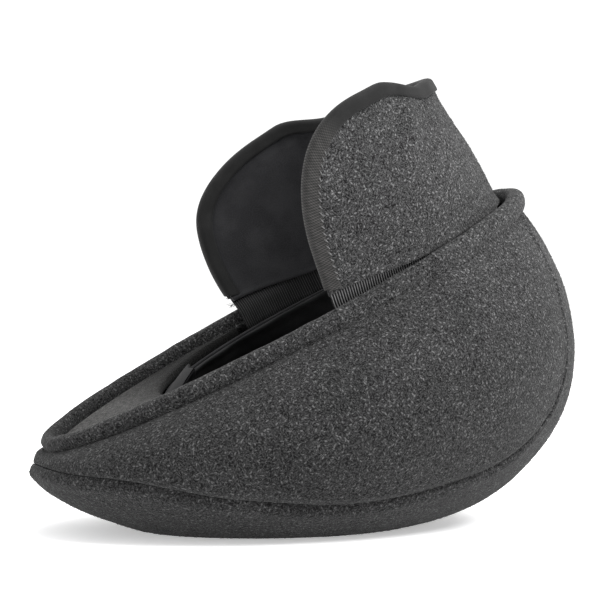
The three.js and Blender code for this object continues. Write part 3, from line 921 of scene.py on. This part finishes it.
def flap_shell(material):
    rows, columns = 52, 300
    angle, height, top = flap_grid(np.linspace(0, 1, rows), columns, SHELL_LAP)
    relief = flap_relief(angle, height) * smoothstep(top - height, 0, 12)
    relief = relief + 0.6 * bump_at(height, height[0], 2.5)
    near = flap_point(angle, height, SHELL_FACE + relief)
    far = flap_point(angle, height, HALF_SPLIT + relief)
    return shell("flap_felt", near, far, material), near


def flap_lining(material):
    rows, columns = 52, 300
    angle, height, top = flap_grid(np.linspace(0, 1, rows) ** 1.3, columns, LINING_LAP)
    to_edge = top - height
    relief = flap_relief(angle, height) * smoothstep(to_edge, 0, 12)
    relief = relief - 0.7 * bump_at(height, height[0], 4)
    groove = 0.5 * bump_at(to_edge, 8, 0.8)
    piping = -0.9 * bump_at(height, height[0] + 1.2, 1.1)
    near = flap_point(angle, height, -HALF_SPLIT + relief)
    far = flap_point(angle, height, -FLAP_LINING_FACE + relief + groove + piping)
    return shell("flap_lining_cloth", near, far, material)


def hinge_tape(material):
    rows, columns = 7, 2000
    share, _ = even_shares(columns)
    angle, _, behind = flap_edge(share, 0)
    height = lerp(-HINGE_ROOT, hinge_top(behind), np.linspace(0, 1, rows)[:, None])
    angle = np.repeat(angle[None, :], rows, 0)
    foot = flap_point(angle[0], hinge_top(behind), 0 * angle[0])
    wave = np.sin(2 * math.pi * along_ring(foot) / TAPE_RIB)[None, :] + 0 * angle
    outer = flap_point(angle, height, TAPE / 2 + 0.2 * wave)
    inner = flap_point(angle, height, -TAPE / 2 - 0.2 * wave)
    made = shell("hinge_ribs", outer, inner, material)
    # Painted highlight: the ribs' crests are marked for the light crest colour, less on the inner face.
    crest_highlight = smoothstep(wave.ravel(), 0.1, 0.9)
    return marked(made, "crest_highlight", np.concatenate([crest_highlight, 0.25 * crest_highlight]))


def binding_faces(columns, skin, swell):
    """One face of the binding: up its outside, over the flap's edge and down its inside."""
    share, total = even_shares(columns)
    run = np.linspace(0, total, columns)
    sides = 18
    fold = np.linspace(-1, 1, sides)
    outwards_full = (SHELL_FACE + FLAP_LINING_FACE) / 2 + skin
    middle = (SHELL_FACE - FLAP_LINING_FACE) / 2
    leg = np.clip((np.abs(fold) - 0.4) / 0.6, 0, 1)
    curl = np.clip(fold / 0.4, -1, 1) * math.pi / 2
    inset = BINDING_WIDTH * leg - skin * np.cos(curl) * (leg <= 0)
    points = []
    for k in range(sides):
        angle, height, _ = flap_edge(share, inset[k])
        rise = np.cos(curl[k]) * 0.8
        out = middle - outwards_full * np.sin(curl[k])
        extra = swell(run, fold[k]) if swell else 0
        out = out - extra * np.sign(curl[k]) * abs(np.sin(curl[k]))
        points.append(flap_point(angle, height + rise, out))
    return np.stack(points)


def binding_ribs(run, fold):
    """The diagonal ribs of the binding on the near lobe's front edge, from -1 to 1."""
    front = 1 - smoothstep(run[-1] - run, BINDING_FRONT, BINDING_FRONT + 24)
    return front * np.sin(2 * math.pi * (run / BINDING_RIB + 3.2 * abs(fold)))


def binding_swell(run, fold):
    """How far the binding's outer face stands out, with ribs and a soft swell all along."""
    ribs = 0.16 * binding_ribs(run, fold)
    soft = 0.12 * np.sin(run / 5.3) + 0.1 * np.sin(run / 2.1 + 1)
    return ribs + soft * 0.5 - 0.3 * bump_at(abs(fold), 1, 0.08)


def flap_binding(material):
    outer = binding_faces(BINDING_COLUMNS, 2 * CLEARANCE + BINDING_THICKNESS, binding_swell)
    inner = binding_faces(BINDING_COLUMNS, 2 * CLEARANCE, None)
    run = np.linspace(0, even_shares(BINDING_COLUMNS)[1], BINDING_COLUMNS)
    folds = np.linspace(-1, 1, len(outer))
    # Painted highlight: the crests of the binding's ribs are marked for the light crest colour.
    crest_highlight = np.stack([smoothstep(binding_ribs(run, fold), 0.1, 0.9) for fold in folds])
    return marked(shell("binding_tape", outer, inner, material), "crest_highlight", np.stack([crest_highlight, crest_highlight]))


def binding_stitches(material):
    """Slanted stitches down the binding's fold on the front edge of the near lobe."""
    share, total = even_shares(BINDING_COLUMNS)
    run = np.linspace(0, total, BINDING_COLUMNS)
    places = np.arange(4, BINDING_FRONT, STITCH_PITCH)
    face = SHELL_FACE + 2 * CLEARANCE + BINDING_THICKNESS + 0.15

    def line(inset, offset):
        along = np.interp(total - places - offset, run, share)
        angle, height, _ = flap_edge(along, inset)
        return flap_point(angle, height, face + 0 * angle)

    starts = line(BINDING_WIDTH + 0.4, 0)
    ends = line(BINDING_WIDTH - 1.3, 1.9)
    return capsules("binding_stitches", starts, ends, 0.34, material)


# Stitches and loose fibres, each many small closed bodies in one mesh.


def capsules(name, starts, ends, radius, material, tones=None):
    """Spindles between pairs of points, with a waist of five sides, or of three where they are many."""
    starts, ends = np.asarray(starts, float), np.asarray(ends, float)
    sides = 5 if len(starts) < MANY_BODIES else 3
    axis = unit(ends - starts)
    helper = np.where(np.abs(axis[:, 2:3]) < 0.9, [[0.0, 0.0, 1.0]], [[1.0, 0.0, 0.0]])
    u = unit(np.cross(axis, helper))
    v = np.cross(axis, u)
    turns = np.arange(sides) * 2 * math.pi / sides
    radius = np.broadcast_to(radius, len(starts))[:, None, None]
    waist = (starts + ends)[:, None, :] / 2 + radius * (
        u[:, None, :] * np.cos(turns)[None, :, None] + v[:, None, :] * np.sin(turns)[None, :, None]
    )
    points = np.concatenate([starts[:, None], ends[:, None], waist], 1).reshape(-1, 3)
    ids = np.arange(sides)
    following = (ids + 1) % sides
    lower = np.stack([0 * ids, 2 + following, 2 + ids], -1)
    upper = np.stack([0 * ids + 1, 2 + ids, 2 + following], -1)
    one = np.concatenate([lower, upper])
    faces = (one[None] + (np.arange(len(starts)) * (sides + 2))[:, None, None]).reshape(-1, 3)
    made = make_object(name, points, turned_out(points, faces), material)
    return made if tones is None else marked(made, "tone", np.repeat(tones, sides + 2))


def frayed_ends(material):
    """Threads that have worked loose at the front end of the tape under the far lobe."""
    rng = np.random.default_rng(61)
    share, _ = even_shares(400)
    angle, _, _ = flap_edge(share[0], 0)
    height = rng.uniform(4, HINGE_HEIGHT, FRAY_COUNT)
    starts = flap_point(angle + 0 * height, height, rng.uniform(-0.5, 0.5, FRAY_COUNT))
    forward = -RIM_SLOPE * rng.uniform(1.5, 5, (FRAY_COUNT, 1))
    ends = starts + forward + rng.normal(size=(FRAY_COUNT, 3)) * [0.8, 1.2, 1.2]
    return capsules("frayed_ends", starts, ends, 0.14, material, rng.uniform(0, 0.4, FRAY_COUNT))


def loose_fibres(name, grid, count, material, seed):
    """Short fibres lying on a face that is given as rows and columns of points."""
    rng = np.random.default_rng(seed)
    across = grid[:-1, 1:] - grid[:-1, :-1]
    along = grid[1:, :-1] - grid[:-1, :-1]
    normals = np.cross(across, along)
    areas = np.linalg.norm(normals, axis=-1)
    cells = rng.choice(areas.size, count, p=(areas / areas.sum()).ravel())
    row, column = np.unravel_index(cells, areas.shape)
    shares = rng.uniform(0, 1, (2, count, 1))
    middle = grid[row, column] + across[row, column] * shares[0] + along[row, column] * shares[1]
    normal = unit(normals[row, column])
    centre = grid.reshape(-1, 3).mean(0)
    normal = normal * np.sign(((middle - centre) * normal).sum(-1)).mean()
    lying = unit(np.cross(normal, rng.normal(size=(count, 3))))
    half_length = rng.uniform(*FIBRE_LENGTH, (count, 1)) / 2
    slope = rng.uniform(-0.15, 0.3, (count, 1))
    reach = half_length * (lying + normal * slope)
    lift = normal * rng.uniform(*FIBRE_LIFT, (count, 1))
    radius = rng.uniform(*FIBRE_RADIUS, count)
    tones = rng.uniform(0, 1, count) ** 2
    return capsules(name, middle - reach + lift, middle + reach + lift, radius, material, tones)


def setup_camera():
    camera = bpy.data.cameras.new("camera")
    made = bpy.data.objects.new("camera", camera)
    bpy.context.scene.collection.objects.link(made)
    forward = Vector((-math.sin(CAMERA_TURN), math.cos(CAMERA_TURN), 0))
    pivot = (shift_x + CAMERA_BEHIND) * MM
    made.location = -forward * CAMERA_DISTANCE * MM + Vector((pivot, 0, CAMERA_HEIGHT * MM))
    aim = Vector((pivot, 0, CAMERA_AIM * MM))
    made.rotation_mode = "QUATERNION"
    made.rotation_quaternion = (aim - made.location).to_track_quat("-Z", "Y")
    camera.lens = CAMERA_LENS
    camera.sensor_width = SENSOR
    camera.clip_start = 0.01
    bpy.context.scene.camera = made


def setup_floor():
    side = 30.0
    mesh = bpy.data.meshes.new("floor")
    corners = [(-side, -side, 0), (side, -side, 0), (side, side, 0), (-side, side, 0)]
    mesh.from_pydata(corners, [], [(0, 1, 2, 3)])
    mesh.materials.append(floor_material())
    floor = bpy.data.objects.new("floor", mesh)
    bpy.context.scene.collection.objects.link(floor)


def area_light(name, place, size, power):
    light = bpy.data.lights.new(name, "AREA")
    light.shape = "DISK"
    light.size = size
    light.energy = power
    made = bpy.data.objects.new(name, light)
    made.location = place
    made.rotation_mode = "QUATERNION"
    made.rotation_quaternion = (Vector(LAMP_AIM) - Vector(place)).to_track_quat("-Z", "Y")
    bpy.context.scene.collection.objects.link(made)


def setup_light():
    world = bpy.data.worlds.new("studio")
    world.use_nodes = True
    background = world.node_tree.nodes["Background"]
    background.inputs["Color"].default_value = (1, 1, 1, 1)
    background.inputs["Strength"].default_value = WORLD_GLOW
    bpy.context.scene.world = world
    bpy.context.scene.view_settings.view_transform = "Standard"
    area_light("key", **KEY_LAMP)
    area_light("top", **TOP_LAMP)


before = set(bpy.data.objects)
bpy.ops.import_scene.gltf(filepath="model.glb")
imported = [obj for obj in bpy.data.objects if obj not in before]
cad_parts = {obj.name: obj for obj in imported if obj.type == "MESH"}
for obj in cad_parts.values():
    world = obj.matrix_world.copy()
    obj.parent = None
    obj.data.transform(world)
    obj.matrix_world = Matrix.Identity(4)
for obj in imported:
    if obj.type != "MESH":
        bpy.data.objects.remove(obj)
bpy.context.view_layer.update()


def frame_shift():
    """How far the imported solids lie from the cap's own axis along X."""
    turn = np.arange(1, 9) * math.pi / 4
    nose = hem_point(np.full(8, math.pi), turn)
    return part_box("rim_roll")[0].x / MM - nose[:, 0].min()


shift_x = frame_shift()
setup_camera()
setup_floor()
setup_light()

felt = felt_material("felt", (0.0035, 0.0035, 0.0036), (0.035, 0.035, 0.0355), (0.17, 0.17, 0.17))
peak_cloth = felt_material(
    "peak_felt", (0.009, 0.0088, 0.0085), (0.13, 0.128, 0.125), (0.22, 0.218, 0.214), fade=True
)
fuzz = fuzz_material("loose_wool", (0.02, 0.02, 0.02), (0.16, 0.16, 0.16))
lining_cloth = lining_material("lining_cloth", (0.012, 0.012, 0.013), (0.023, 0.023, 0.0245))
# The last colour of the black tape and of the binding is a painted highlight for their rib crests.
black_tape = tape_material("black_tape", (0.007, 0.007, 0.0075), (0.014, 0.014, 0.015), (0.14, 0.14, 0.14))
band_cloth = tape_material("band_cloth", (0.016, 0.016, 0.0165), (0.03, 0.03, 0.031))
tab_cloth = tape_material("tab_cloth", (0.006, 0.006, 0.0065), (0.011, 0.011, 0.012))
binding_cloth = tape_material(
    "binding_cloth", (0.008, 0.008, 0.008), (0.015, 0.015, 0.015), (0.06, 0.058, 0.056)
)
grey_thread = thread_material("grey_thread", (0.07, 0.07, 0.07), (0.13, 0.13, 0.13))

side, side_face = side_panel(felt)
dressed(side, "side_panel")
crown, crown_face = crown_panel(felt)
dressed(crown, "crown_panel")
rolled, rolled_face = hem(felt)
dressed(rolled, "rim_roll")
crescent, crescent_face = peak(peak_cloth)
dressed(crescent, "peak")
dressed(rim_facing(felt), "rim_facing")
dressed(lining(lining_cloth), "lining")
dressed(sweatband(band_cloth), "sweatband")
dressed(front_tab(tab_cloth), "front_tab")
dressed(hinge_tape(black_tape), "hinge_tape")
flap, flap_face = flap_shell(felt)
dressed(flap, "flap_shell")
dressed(flap_lining(lining_cloth), "flap_lining")
dressed(flap_binding(binding_cloth), "flap_binding")
trimmed(binding_stitches(grey_thread))
trimmed(frayed_ends(fuzz))
for name, face, count in (
    ("side_fuzz", side_face, 14000),
    ("crown_fuzz", crown_face, 9000),
    ("hem_fuzz", rolled_face, 5000),
    ("flap_fuzz", flap_face, 9000),
    ("peak_fuzz", crescent_face, 2000),
):
    trimmed(loose_fibres(name, face, count, fuzz, seed=len(name)))
